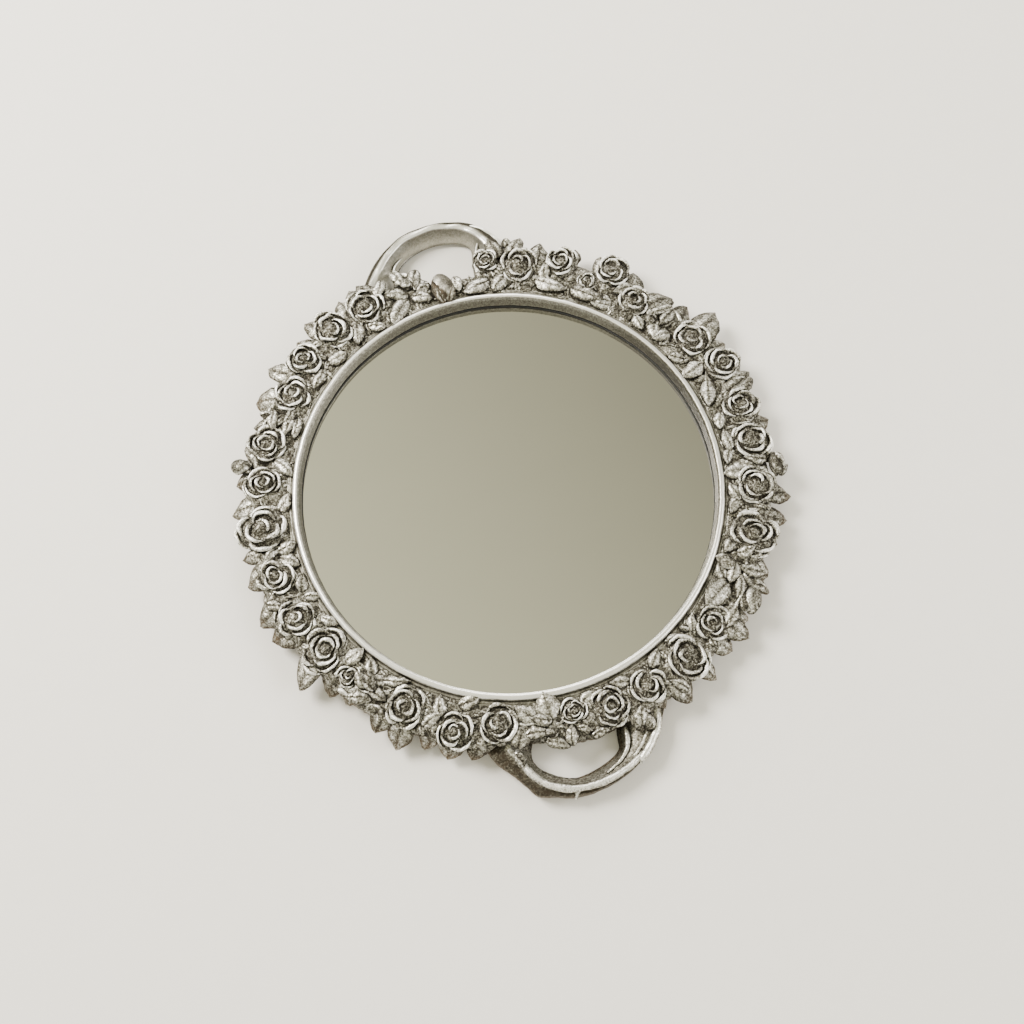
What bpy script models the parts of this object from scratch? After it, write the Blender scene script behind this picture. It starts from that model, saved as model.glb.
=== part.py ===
"""Round mirror with a rose-wreath frame and two loop handles, lying on its back.

The mirror is made as it comes apart: a turned base ring that holds the glass, a backing board kept in by
turn buttons, leaf garlands fixed round the ring, roses and buds fixed on the garlands, and two handle loops.
Metres, +Z out of the glass, origin on the ring's axis at the surface that the mirror lies on, and +Y
through the middle of the upper handle. Touching pieces keep a gap of FIT.
"""

import math

import bmesh
import bpy
from mathutils import Matrix, Vector

MM = 0.001
FIT = 0.3 * MM

# Driving sizes
GLASS_RADIUS = 152.4 * MM
GLASS_THICKNESS = 4.0 * MM
SIGHT_RADIUS = 148.5 * MM
RING_RADIUS = 174.0 * MM
RING_BACK = 1.8 * MM
BED_HEIGHT = 17.0 * MM
BEAD_RADIUS = 153.2 * MM
BEAD_HALF_WIDTH = 2.6 * MM
BEAD_TOP = 24.0 * MM
GLASS_FRONT = 12.0 * MM
TAPE_THICKNESS = 0.7 * MM
BOARD_RADIUS = 156.0 * MM
BOARD_THICKNESS = 3.0 * MM
RECESS_RADIUS = 165.6 * MM
FELT_THICKNESS = 1.5 * MM
FELT_INNER_RADIUS = 167.0 * MM
FELT_OUTER_RADIUS = 173.0 * MM
TURNED_STEPS = 72

# Heights that follow from them
TAPE_BOTTOM = GLASS_FRONT + FIT
LIP_HEIGHT = TAPE_BOTTOM + TAPE_THICKNESS + FIT
GLASS_BACK = GLASS_FRONT - GLASS_THICKNESS
LEDGE_HEIGHT = GLASS_BACK
BOARD_BOTTOM = GLASS_BACK - FIT - BOARD_THICKNESS
RECESS_HEIGHT = BOARD_BOTTOM - FIT

# Leaf garlands
GARLANDS = 9
GARLAND_STEPS = 20
GARLAND_BOTTOM = BED_HEIGHT + FIT
GARLAND_TOP = 19.0 * MM
GARLAND_EDGE = 18.0 * MM
GARLAND_FOOT = 5.0 * MM
GARLAND_INNER_RADIUS = 163.0 * MM
GARLAND_OUTER_RADIUS = 188.0 * MM
GARLAND_WALL = RING_RADIUS + 2 * FIT
LEAF_FALL = 0.45
LEAF_POINT = 2.0

# Each leaf that reaches out past the garland's edge: angle in degrees, tip radius and width in mm
OUTER_LEAVES = (
    (10, 206, 14), (26, 206, 19), (31, 195, 13), (42, 196, 20), (52, 196, 14), (68, 197, 16),
    (115, 196, 16), (124, 200, 15), (137, 200, 14), (143, 197, 17), (160, 202, 14), (170, 198, 16),
    (185, 203, 19), (194, 203, 18), (201, 200, 20), (209, 206, 17), (214, 197, 15), (227, 200, 17),
    (233, 204, 16), (242, 203, 17), (292, 200, 17), (299, 201, 12), (310, 201, 14), (318, 199, 18),
    (325, 195, 14), (340, 202, 20), (350, 202, 18), (359, 200, 16),
)
# Each leaf that reaches in over the bed, towards the bead
INNER_LEAVES = (
    (11, 160, 18), (18, 159, 15), (32, 160, 16), (54, 159, 22), (63, 160, 18), (77, 159, 14),
    (84, 159, 18), (105, 159, 20), (117, 160, 14), (133, 160, 14), (148, 160, 16), (159, 159, 15),
    (169, 159, 14), (184, 159, 13), (195, 159, 12), (202, 159, 12), (215, 159, 13), (225, 160, 17),
    (245, 159, 16), (264, 159, 16), (304, 159, 12), (316, 160, 20), (324, 160, 14), (342, 160, 16),
    (349, 160, 15), (357, 160, 16),
)
# The garland's own edge where it isn't GARLAND_OUTER_RADIUS: from and to in degrees, radius in mm
BARE_EDGES = ((73, 82, 182), (82, 95, 175), (95, 109, 184), (251, 259, 182), (259, 266, 184), (266, 278, 189))
# Where the handles' legs pass under the garland, so that it has no foot there: from and to in degrees
LEG_ARCS = ((72, 112), (246, 261), (277, 290))

# Roses: angle in degrees, radius of the centre in mm, diameter in mm
ROSES = (
    (5, 182, 28), (16, 186, 29), (25, 181, 27), (42, 177, 26), (50, 191, 26), (55, 176, 16),
    (62, 187, 26), (72, 180, 29), (80, 184, 21), (111, 180, 29), (121, 182, 30), (131, 182, 26),
    (140, 174, 29), (154, 179, 29), (164, 177, 25), (174.8, 177.6, 35), (187, 177, 28), (198, 178, 30),
    (208, 175, 31), (216, 177, 16), (231, 174, 31), (243, 180, 27), (252, 172, 28), (270, 169, 21),
    (278, 174, 27), (288, 174, 28), (299, 176, 31), (309, 175, 26), (333, 178, 34), (345, 179, 30),
    (356, 181, 28),
)
ROSE_BASE = GARLAND_TOP + FIT
ROSE_HEIGHT = 3.0 * MM
ROSE_HEIGHT_PER_DIAMETER = 0.22
PETALS = 5
PETAL_DEPTH = 0.045
# Radius and height of each ring of a rose from its middle out and down to its base, as shares of the whole
ROSE_RINGS = (
    (0.0, 0.95), (0.20, 1.0), (0.32, 0.80), (0.56, 0.90), (0.66, 0.64), (0.95, 0.62), (0.84, 0.32),
    (0.50, 0.0), (0.0, 0.0),
)

# Buds: name, angle in degrees, radius, length out, width across and height in mm, tip radius of its leaf
BUDS = (
    ("bud_top", 92, 169, 19, 17, 9, 188),
    ("bud_left", 160, 196, 12, 12, 11, 202),
    ("bud_right", 350, 197, 11, 16, 10, 202),
    ("bud_lower_right", 318, 192, 12, 17, 9, 199),
)
BUD_SEGMENTS = 12
BUD_RINGS = 7

# Handle loops
LOOP_BOTTOM = 3.0 * MM
LOOP_TOP = BED_HEIGHT
LOOP_WIDTH = 13.0 * MM
LOOP_RESOLUTION = 4
# The middle of each handle's foot, as x and y in mm from the ring's axis, from the right leg to the left
UPPER_PATH = (
    (43, 165), (42, 178), (38, 194), (31, 207), (18, 217), (0, 220.3), (-20, 216), (-36, 205),
    (-46, 192), (-52, 179), (-55, 164),
)
LOWER_PATH = (
    (44, -164), (44, -178), (42, -192), (34, -206), (20, -215), (0, -219.5), (-19, -217.5), (-35, -208),
    (-46, -195), (-52, -182), (-54, -165),
)
# Half of the section, as share of the width across (+ is outward) and share of the height
LOOP_SECTION = (
    (0.50, 0.0), (0.50, 0.85), (0.38, 1.0), (0.02, 1.0), (-0.20, 0.80), (-0.50, 0.12), (-0.42, 0.0),
)
TENON_WIDTH = 8.0 * MM
TENON_BOTTOM = 6.0 * MM
TENON_TOP = 13.0 * MM
TENON_LENGTH = 8.5 * MM
TENON_INNER_RADIUS = 168.5 * MM

# Turn buttons and their screws
BUTTON_ANGLES = (45, 135, 225, 315)
BUTTON_RADIUS = 160.5 * MM
BUTTON_INNER_REACH = 13.5 * MM
BUTTON_OUTER_REACH = 4.0 * MM
BUTTON_WIDTH = 8.0 * MM
BUTTON_THICKNESS = 1.5 * MM
BUTTON_TOP = RECESS_HEIGHT - FIT
BUTTON_BOTTOM = BUTTON_TOP - BUTTON_THICKNESS
SCREW_RADIUS = 1.2 * MM
SCREW_HOLE_RADIUS = 1.55 * MM
SCREW_LENGTH = 9.0 * MM
SCREW_HEAD_RADIUS = 2.8 * MM
SCREW_HEAD_HEIGHT = 1.2 * MM
SCREW_SLOT_WIDTH = 0.8 * MM
SCREW_SLOT_DEPTH = 0.6 * MM

# Name: colour, roughness and metallic value
MATERIALS = {
    "antique_silver": ((0.42, 0.41, 0.37), 0.42, 0.75),
    "rose_silver": ((0.52, 0.51, 0.47), 0.38, 0.80),
    "leaf_silver": ((0.36, 0.35, 0.31), 0.45, 0.70),
    "mirror": ((0.80, 0.82, 0.80), 0.03, 1.0),
    "tape": ((0.03, 0.03, 0.03), 0.85, 0.0),
    "board": ((0.24, 0.16, 0.09), 0.80, 0.0),
    "felt": ((0.02, 0.02, 0.02), 0.95, 0.0),
    "steel": ((0.55, 0.53, 0.50), 0.35, 1.0),
}


def start_scene():
    """Empty the scene, and return the collections of the parts and of the cutters."""
    for old in list(bpy.data.objects):
        bpy.data.objects.remove(old, do_unlink=True)
    made = []
    for name in ("rose_mirror", "cutters"):
        collection = bpy.data.collections.new(name)
        bpy.context.scene.collection.children.link(collection)
        made.append(collection)
    return made


PARTS, CUTTERS = start_scene()


def polar(angle, radius, height=0.0):
    """The point at an angle in degrees round the ring's axis."""
    turn = math.radians(angle)
    return Vector((radius * math.cos(turn), radius * math.sin(turn), height))


def material(name):
    """The Principled material of that name, made the first time that it is asked for."""
    found = bpy.data.materials.get(name)
    if found:
        return found
    colour, roughness, metallic = MATERIALS[name]
    made = bpy.data.materials.new(name)
    made.use_nodes = True
    shader = made.node_tree.nodes["Principled BSDF"]
    shader.inputs["Base Color"].default_value = (*colour, 1.0)
    shader.inputs["Roughness"].default_value = roughness
    shader.inputs["Metallic"].default_value = metallic
    return made


def as_part(name, mesh, finish, place=None):
    """Put a mesh in the scene as a named sub-part with its finish."""
    part = bpy.data.objects.new(name, mesh)
    PARTS.objects.link(part)
    part.data.materials.clear()
    part.data.materials.append(material(finish))
    if place:
        part.matrix_world = place
    return part


def as_cutter(name, mesh, place=None):
    """Put a mesh in the scene as a tool for Booleans, which isn't itself part of the object."""
    cutter = bpy.data.objects.new(name, mesh)
    CUTTERS.objects.link(cutter)
    cutter.hide_render = True
    cutter.display_type = "WIRE"
    if place:
        cutter.matrix_world = place
    return cutter


def boolean(part, tool, operation):
    """Cut or join a part with a tool."""
    modifier = part.modifiers.new(f"{operation.lower()}_{tool.name}", "BOOLEAN")
    modifier.operation = operation
    modifier.solver = "EXACT"
    modifier.object = tool


def box_mesh(name, low, high):
    """A box between two corners."""
    bm = bmesh.new()
    bmesh.ops.create_cube(bm, size=1.0)
    size = Vector(high) - Vector(low)
    middle = (Vector(high) + Vector(low)) / 2
    bmesh.ops.transform(bm, matrix=Matrix.Translation(middle) @ Matrix.Diagonal((*size, 1.0)), verts=bm.verts)
    mesh = bpy.data.meshes.new(name)
    bm.to_mesh(mesh)
    bm.free()
    return mesh


def cylinder_mesh(name, radius, bottom, top, segments):
    """An upright cylinder on the local Z axis."""
    bm = bmesh.new()
    bmesh.ops.create_cone(
        bm, cap_ends=True, segments=segments, radius1=radius, radius2=radius, depth=top - bottom
    )
    bmesh.ops.translate(bm, vec=(0, 0, (top + bottom) / 2), verts=bm.verts)
    mesh = bpy.data.meshes.new(name)
    bm.to_mesh(mesh)
    bm.free()
    return mesh


def turned(name, outline, finish, closed=True, steps=TURNED_STEPS):
    """Turn an outline of radius and height pairs, which runs down its outer side, about the Z axis."""
    edges = [(i, i + 1) for i in range(len(outline) - 1)]
    if closed:
        edges.append((len(outline) - 1, 0))
    mesh = bpy.data.meshes.new(name)
    mesh.from_pydata([(radius, 0, height) for radius, height in outline], edges, [])
    part = as_part(name, mesh, finish)
    screw = part.modifiers.new("turn", "SCREW")
    screw.steps = steps
    screw.render_steps = steps
    screw.use_merge_vertices = True
    screw.merge_threshold = 0.00001
    screw.use_smooth_shade = True
    return part


def flat_ring(name, inner, outer, bottom, top, finish):
    """A washer between two radii and two heights."""
    return turned(name, ((outer, top), (outer, bottom), (inner, bottom), (inner, top)), finish)


def bead_outline():
    """The round bead at the mirror's edge, from its inner side over its top to its outer side."""
    points = []
    for angle in (165, 128, 90, 52, 15):
        turn = math.radians(angle)
        across = BEAD_HALF_WIDTH * math.cos(turn)
        up = BEAD_HALF_WIDTH * (math.sin(turn) - 1)
        points.append((BEAD_RADIUS + across, BEAD_TOP + up))
    return points


def frame_ring():
    """The base ring: bead and bed in front, and steps for the glass, the board and the buttons behind."""
    glass_wall = GLASS_RADIUS + 0.5 * MM
    board_wall = BOARD_RADIUS + 0.5 * MM
    chamfer = 1.5 * MM
    outline = [
        (RING_RADIUS - chamfer, BED_HEIGHT),
        (RING_RADIUS, BED_HEIGHT - chamfer),
        (RING_RADIUS, RING_BACK),
        (RECESS_RADIUS, RING_BACK),
        (RECESS_RADIUS, RECESS_HEIGHT),
        (board_wall, RECESS_HEIGHT),
        (board_wall, LEDGE_HEIGHT),
        (glass_wall, LEDGE_HEIGHT),
        (glass_wall, LIP_HEIGHT),
        (SIGHT_RADIUS, LIP_HEIGHT),
        (SIGHT_RADIUS, LIP_HEIGHT + 1.0 * MM),
        *bead_outline(),
        (BEAD_RADIUS + BEAD_HALF_WIDTH + 0.4 * MM, BED_HEIGHT + 1.0 * MM),
        (BEAD_RADIUS + BEAD_HALF_WIDTH + 1.8 * MM, BED_HEIGHT),
    ]
    ring = turned("frame_ring", outline, "antique_silver")
    for number, angle in enumerate(BUTTON_ANGLES, 1):
        hole = cylinder_mesh(
            f"screw_hole_{number}", SCREW_HOLE_RADIUS, RING_BACK, BUTTON_BOTTOM + SCREW_LENGTH + 1.0 * MM, 10
        )
        place = Matrix.Translation(polar(angle, BUTTON_RADIUS))
        boolean(ring, as_cutter(f"screw_hole_{number}", hole, place), "DIFFERENCE")
    for name, path in (("upper", UPPER_PATH), ("lower", LOWER_PATH)):
        for side, end in (("right", path[0]), ("left", path[-1])):
            slack = FIT + 0.05 * MM
            pocket = tenon(f"pocket_{name}_{side}", end, slack)
            boolean(ring, pocket, "DIFFERENCE")
    return ring


def tenon(name, end, slack=0.0):
    """The block by which a handle's leg enters the ring, or the pocket for it when it has slack."""
    mesh = box_mesh(
        name,
        (TENON_INNER_RADIUS - slack, -TENON_WIDTH / 2 - slack, TENON_BOTTOM - slack),
        (TENON_INNER_RADIUS + TENON_LENGTH, TENON_WIDTH / 2 + slack, TENON_TOP + slack),
    )
    turn = math.atan2(end[1], end[0])
    return as_cutter(name, mesh, Matrix.Rotation(turn, 4, "Z"))


def handle_loop(name, path):
    """A handle: a smooth run with a sloping inner wall, its legs cut to the ring's side and tenoned in."""
    section = bpy.data.curves.new(f"{name}_section", "CURVE")
    section.dimensions = "2D"
    spline = section.splines.new("POLY")
    spline.points.add(len(LOOP_SECTION) - 1)
    height = LOOP_TOP - LOOP_BOTTOM
    outward = 1 if path[0][1] > 0 else -1
    for point, (across, up) in zip(spline.points, LOOP_SECTION):
        point.co = (-outward * across * LOOP_WIDTH, up * height, 0, 1)
    spline.use_cyclic_u = True
    section_object = bpy.data.objects.new(f"{name}_section", section)
    CUTTERS.objects.link(section_object)
    section_object.hide_render = True

    run = bpy.data.curves.new(f"{name}_run", "CURVE")
    run.dimensions = "3D"
    run.twist_mode = "Z_UP"
    run.bevel_mode = "OBJECT"
    run.bevel_object = section_object
    run.use_fill_caps = True
    line = run.splines.new("BEZIER")
    line.resolution_u = LOOP_RESOLUTION
    line.bezier_points.add(len(path) - 1)
    for point, (x, y) in zip(line.bezier_points, path):
        point.co = (x * MM, y * MM, LOOP_BOTTOM)
        point.handle_left_type = "AUTO"
        point.handle_right_type = "AUTO"
    run_object = bpy.data.objects.new(f"{name}_run", run)
    CUTTERS.objects.link(run_object)

    evaluated = run_object.evaluated_get(bpy.context.evaluated_depsgraph_get())
    mesh = bpy.data.meshes.new_from_object(evaluated)
    bpy.data.objects.remove(run_object, do_unlink=True)
    bm = bmesh.new()
    bm.from_mesh(mesh)
    bmesh.ops.remove_doubles(bm, verts=bm.verts, dist=0.00001)
    bmesh.ops.recalc_face_normals(bm, faces=bm.faces)
    bm.to_mesh(mesh)
    bm.free()
    loop = as_part(name, mesh, "antique_silver")
    trim = cylinder_mesh(f"{name}_trim", RING_RADIUS + FIT + 0.05 * MM, -0.01, 0.05, TURNED_STEPS)
    boolean(loop, as_cutter(f"{name}_trim", trim), "DIFFERENCE")
    for side, end in (("right", path[0]), ("left", path[-1])):
        boolean(loop, tenon(f"{name}_tenon_{side}", end), "UNION")
    return loop


def leaf_reach(angle, leaves, edge):
    """How far the garland's edge lies at an angle, where a leaf may carry it past its own edge."""
    reach = edge
    for at, tip, width in leaves:
        off = abs((angle - at + 180) % 360 - 180)
        half = math.degrees(width / 2 / tip)
        if off < half:
            lobe = edge + (tip * MM - edge) * (1 - (off / half) ** LEAF_POINT)
            reach = max(reach, lobe) if tip * MM > edge else min(reach, lobe)
    return reach


def outer_edge(angle):
    """The garland's outer edge at an angle."""
    edge = GARLAND_OUTER_RADIUS
    for start, end, radius in BARE_EDGES:
        if start <= angle % 360 <= end:
            edge = radius * MM
    return leaf_reach(angle, OUTER_LEAVES, edge)


def garland_section(angle):
    """The garland's section at an angle, as radius and height pairs, from its inner edge over its top."""
    inner = leaf_reach(angle, INNER_LEAVES, GARLAND_INNER_RADIUS)
    outer = outer_edge(angle)
    tip_height = GARLAND_EDGE - LEAF_FALL * max(outer - GARLAND_OUTER_RADIUS, 0)
    over_leg = any(start <= angle % 360 <= end for start, end in LEG_ARCS)
    wall = min(GARLAND_WALL, outer - 2.0 * MM)
    foot = (outer - 0.8 * MM, GARLAND_BOTTOM) if over_leg else (GARLAND_WALL, GARLAND_FOOT)
    tip_bottom = GARLAND_BOTTOM + FIT if over_leg else GARLAND_FOOT
    return (
        (inner, GARLAND_BOTTOM),
        (inner + 0.6 * MM, GARLAND_TOP - 0.7 * MM),
        (inner + 5.0 * MM, GARLAND_TOP),
        (min(outer - 3.0 * MM, GARLAND_OUTER_RADIUS - 3.0 * MM), GARLAND_TOP),
        (outer, tip_height),
        (outer, tip_bottom),
        foot,
        (wall, GARLAND_BOTTOM),
    )


def leaf_garland(number):
    """One cast length of leaves: its sections at even angles, joined by faces and closed at both ends."""
    span = 360 / GARLANDS
    margin = math.degrees(FIT / GARLAND_INNER_RADIUS)
    start = (number - 1) * span + margin
    step = (span - 2 * margin) / GARLAND_STEPS
    bm = bmesh.new()
    rows = []
    for index in range(GARLAND_STEPS + 1):
        angle = start + index * step
        rows.append([bm.verts.new(polar(angle, radius, height)) for radius, height in garland_section(angle)])
    for near, far in zip(rows, rows[1:]):
        for i in range(len(near)):
            j = (i + 1) % len(near)
            bm.faces.new((near[i], near[j], far[j], far[i]))
    bm.faces.new(rows[0])
    bm.faces.new(reversed(rows[-1]))
    bmesh.ops.recalc_face_normals(bm, faces=bm.faces)
    mesh = bpy.data.meshes.new(f"leaf_garland_{number}")
    bm.to_mesh(mesh)
    bm.free()
    return as_part(f"leaf_garland_{number}", mesh, "leaf_silver")


def rose_mesh(name, diameter, height):
    """A rose: a sphere's rings drawn out to rows of petals, each row turned half a petal from the last."""
    bm = bmesh.new()
    rings = len(ROSE_RINGS) - 1
    bmesh.ops.create_uvsphere(bm, u_segments=2 * PETALS, v_segments=rings, radius=1.0)
    for vert in bm.verts:
        ring = round(math.acos(max(-1.0, min(1.0, vert.co.z))) / math.pi * rings)
        turn = math.atan2(vert.co.y, vert.co.x)
        share, up = ROSE_RINGS[ring]
        row = 1 if ring in (3, 4) else -1
        radius = diameter / 2 * share * (1 + row * PETAL_DEPTH * math.cos(PETALS * turn))
        vert.co = (radius * math.cos(turn), radius * math.sin(turn), height * up)
    bmesh.ops.recalc_face_normals(bm, faces=bm.faces)
    mesh = bpy.data.meshes.new(name)
    bm.to_mesh(mesh)
    bm.free()
    return mesh


def rose(number, angle, radius, diameter):
    """A rose on the garland, with one petal pointing outward."""
    name = f"rose_{number:02d}"
    height = ROSE_HEIGHT + ROSE_HEIGHT_PER_DIAMETER * diameter * MM
    mesh = rose_mesh(name, diameter * MM, height)
    place = Matrix.Translation(polar(angle, radius * MM, ROSE_BASE))
    return as_part(name, mesh, "rose_silver", place @ Matrix.Rotation(math.radians(angle), 4, "Z"))


def bud(name, angle, radius, length, width, height, tip):
    """An egg-shaped bud that rests on the garland, with its narrow end outward."""
    fall = max(radius - (GARLAND_OUTER_RADIUS / MM - 3.0), 0) / (tip - GARLAND_OUTER_RADIUS / MM + 3.0)
    drop = GARLAND_TOP - (GARLAND_EDGE - LEAF_FALL * (tip * MM - GARLAND_OUTER_RADIUS))
    bottom = ROSE_BASE - fall * drop
    slope = drop / (tip * MM - GARLAND_OUTER_RADIUS + 3.0 * MM)
    lift = height / 2 * MM * (math.hypot(1, slope) - 1) + 1.0 * MM * (fall > 0)
    bm = bmesh.new()
    bmesh.ops.create_uvsphere(bm, u_segments=BUD_SEGMENTS, v_segments=BUD_RINGS, radius=0.5)
    for vert in bm.verts:
        narrow = 1 - 0.35 * (vert.co.x + 0.5) ** 2
        vert.co = (vert.co.x * length * MM, vert.co.y * width * MM * narrow, (vert.co.z + 0.5) * height * MM)
    mesh = bpy.data.meshes.new(name)
    bm.to_mesh(mesh)
    bm.free()
    place = Matrix.Translation(polar(angle, radius * MM, bottom + lift))
    return as_part(name, mesh, "rose_silver", place @ Matrix.Rotation(math.radians(angle), 4, "Z"))


def glazing():
    """The glass, the tape between it and the ring's lip, the backing board and the felt under the ring."""
    arris = 0.5 * MM
    turned(
        "mirror_glass",
        (
            (0, GLASS_FRONT),
            (GLASS_RADIUS - arris, GLASS_FRONT),
            (GLASS_RADIUS, GLASS_FRONT - arris),
            (GLASS_RADIUS, GLASS_BACK),
            (0, GLASS_BACK),
        ),
        "mirror",
        closed=False,
    )
    flat_ring(
        "glazing_tape",
        SIGHT_RADIUS + 1.0 * MM,
        GLASS_RADIUS - 0.4 * MM,
        TAPE_BOTTOM,
        TAPE_BOTTOM + TAPE_THICKNESS,
        "tape",
    )
    turned(
        "backing_board",
        (
            (0, BOARD_BOTTOM + BOARD_THICKNESS),
            (BOARD_RADIUS, BOARD_BOTTOM + BOARD_THICKNESS),
            (BOARD_RADIUS, BOARD_BOTTOM),
            (0, BOARD_BOTTOM),
        ),
        "board",
        closed=False,
    )
    flat_ring("felt_ring", FELT_INNER_RADIUS, FELT_OUTER_RADIUS, 0, FELT_THICKNESS, "felt")


def turn_button(number, angle):
    """A steel strip with rounded corners that turns on its screw and holds the backing board in."""
    name = f"turn_button_{number}"
    mesh = box_mesh(
        name,
        (-BUTTON_INNER_REACH, -BUTTON_WIDTH / 2, 0),
        (BUTTON_OUTER_REACH, BUTTON_WIDTH / 2, BUTTON_THICKNESS),
    )
    bm = bmesh.new()
    bm.from_mesh(mesh)
    corners = [e for e in bm.edges if abs(e.verts[0].co.z - e.verts[1].co.z) > BUTTON_THICKNESS / 2]
    bmesh.ops.bevel(bm, geom=corners, offset=2.5 * MM, segments=3, profile=0.5, affect="EDGES")
    bm.to_mesh(mesh)
    bm.free()
    place = Matrix.Translation(polar(angle, BUTTON_RADIUS, BUTTON_BOTTOM))
    button = as_part(name, mesh, "steel", place @ Matrix.Rotation(math.radians(angle), 4, "Z"))
    hole = cylinder_mesh(f"button_hole_{number}", SCREW_HOLE_RADIUS, -0.01, 0.01, 12)
    boolean(button, as_cutter(f"button_hole_{number}", hole, place), "DIFFERENCE")
    return button


def button_screw(number, angle):
    """The slotted screw that a turn button pivots on, head down, with its point in the ring."""
    name = f"button_screw_{number}"
    head_top = BUTTON_BOTTOM - FIT
    head_bottom = head_top - SCREW_HEAD_HEIGHT
    point = BUTTON_BOTTOM + SCREW_LENGTH
    outline = (
        (0, point),
        (SCREW_RADIUS, point - 2.0 * MM),
        (SCREW_RADIUS, head_top),
        (SCREW_HEAD_RADIUS, head_top),
        (SCREW_HEAD_RADIUS, head_bottom + 0.6 * MM),
        (SCREW_HEAD_RADIUS - 0.8 * MM, head_bottom),
        (0, head_bottom),
    )
    screw = turned(name, outline, "steel", closed=False, steps=12)
    place = Matrix.Translation(polar(angle, BUTTON_RADIUS))
    screw.matrix_world = place
    slot = box_mesh(
        f"screw_slot_{number}",
        (-2 * SCREW_HEAD_RADIUS, -SCREW_SLOT_WIDTH / 2, 0),
        (2 * SCREW_HEAD_RADIUS, SCREW_SLOT_WIDTH / 2, head_bottom + SCREW_SLOT_DEPTH),
    )
    boolean(screw, as_cutter(f"screw_slot_{number}", slot, place), "DIFFERENCE")
    return screw


def main():
    frame_ring()
    glazing()
    handle_loop("upper_loop", UPPER_PATH)
    handle_loop("lower_loop", LOWER_PATH)
    for number in range(1, GARLANDS + 1):
        leaf_garland(number)
    for number, (angle, radius, diameter) in enumerate(ROSES, 1):
        rose(number, angle, radius, diameter)
    for row in BUDS:
        bud(*row)
    for number, angle in enumerate(BUTTON_ANGLES, 1):
        turn_button(number, angle)
        button_screw(number, angle)


main()
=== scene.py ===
"""Looks of the rose-wreath mirror: sculpted roses, buds, leaves and stems in brushed antique silver."""
import math
import random

import bpy
import numpy as np
from mathutils import Matrix, Vector, noise


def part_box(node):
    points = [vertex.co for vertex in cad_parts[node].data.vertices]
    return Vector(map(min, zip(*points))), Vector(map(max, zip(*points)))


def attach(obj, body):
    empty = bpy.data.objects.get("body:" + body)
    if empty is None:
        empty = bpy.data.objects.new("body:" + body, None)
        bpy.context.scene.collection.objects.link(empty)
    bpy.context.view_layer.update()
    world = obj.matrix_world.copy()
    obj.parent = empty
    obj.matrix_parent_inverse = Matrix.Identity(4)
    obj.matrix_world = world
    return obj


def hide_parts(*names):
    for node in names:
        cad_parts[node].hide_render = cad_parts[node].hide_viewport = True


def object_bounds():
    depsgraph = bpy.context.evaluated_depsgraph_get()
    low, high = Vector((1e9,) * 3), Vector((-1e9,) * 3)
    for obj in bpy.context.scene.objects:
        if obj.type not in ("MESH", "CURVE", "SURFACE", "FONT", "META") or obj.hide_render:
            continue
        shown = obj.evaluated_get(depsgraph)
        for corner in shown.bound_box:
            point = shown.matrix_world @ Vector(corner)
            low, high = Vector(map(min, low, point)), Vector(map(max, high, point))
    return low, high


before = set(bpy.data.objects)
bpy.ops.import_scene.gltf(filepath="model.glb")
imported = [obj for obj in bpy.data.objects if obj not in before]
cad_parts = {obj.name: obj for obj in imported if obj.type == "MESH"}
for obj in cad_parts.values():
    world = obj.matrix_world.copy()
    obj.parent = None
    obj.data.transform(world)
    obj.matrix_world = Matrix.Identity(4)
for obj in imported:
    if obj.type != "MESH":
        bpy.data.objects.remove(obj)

CAD_LOW, CAD_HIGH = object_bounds()
MM = 0.001
BODY = "frame"

# The radius and height of the frame's parts that the pieces are placed by
RING_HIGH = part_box("frame_ring")[1]
RING_RADIUS = RING_HIGH.x
BED_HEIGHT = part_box("leaf_garland_1")[1].z - 2.0 * MM
GARLAND_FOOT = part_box("leaf_garland_5")[0].z
GLASS_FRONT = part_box("mirror_glass")[1].z
LOOP_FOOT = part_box("upper_loop")[0].z
ROSES = sorted(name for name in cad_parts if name.startswith("rose_"))
GARLANDS = sorted(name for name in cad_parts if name.startswith("leaf_garland_"))

# A bloom's radius as a share of its CAD node's, and how far its top stays below the node's
ROSE_SPREAD = 1.10
ROSE_CLEARANCE = 1.9 * MM
ROSE_SEED = 100
# The closed buds: CAD node, and heading in degrees from straight out
BUDS = (("bud_top", 0), ("bud_left", 0), ("bud_right", 90), ("bud_lower_right", 90))
# Their length and width as shares of the node's, and how far in they are moved to stay in the CAD box
BUD_LENGTH, BUD_WIDTH = 1.25, 1.15
BUD_INWARD = 1.2 * MM

# The bed that the flowers grow from: radius of its inner edge in metres, and of its outer edge in mm
BED_INNER = 157.7 * MM
BED_OUTER = 190.0
# In mm, its height at the bead's groove, what its crown adds, and how far its outer edge falls
BED_GROOVE, BED_CROWN, BED_FALL = 20.2, 0.8, 4.0
# The depth of its lumps, and the sizes of the coarse and fine ones
LUMP_DEPTH, COARSE_LUMP, FINE_LUMP = 2.6 * MM, 7.0 * MM, 2.8 * MM
# Where its outer edge is cut back at the handles: start and end in degrees, and radius in mm
BED_CUTS = ((74, 82, 186), (82, 95, 174.5), (95, 108, 186), (252, 259, 183), (259, 266, 185))
CUT_EASE = 1.2
# Where its side stops above a handle's leg, in degrees, and the height that it stops at
LEG_SPANS = ((72, 112), (247, 260), (277, 289))
LEG_CLEARANCE = 12.5 * MM
LEG_EASE = 1.5
# Small scraps of leaf on each garland
SCRAPS, SCRAP_SEED = 34, 900

# In the tables below, angles are in degrees from +X, headings in degrees from straight out, and all else in mm

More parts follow.
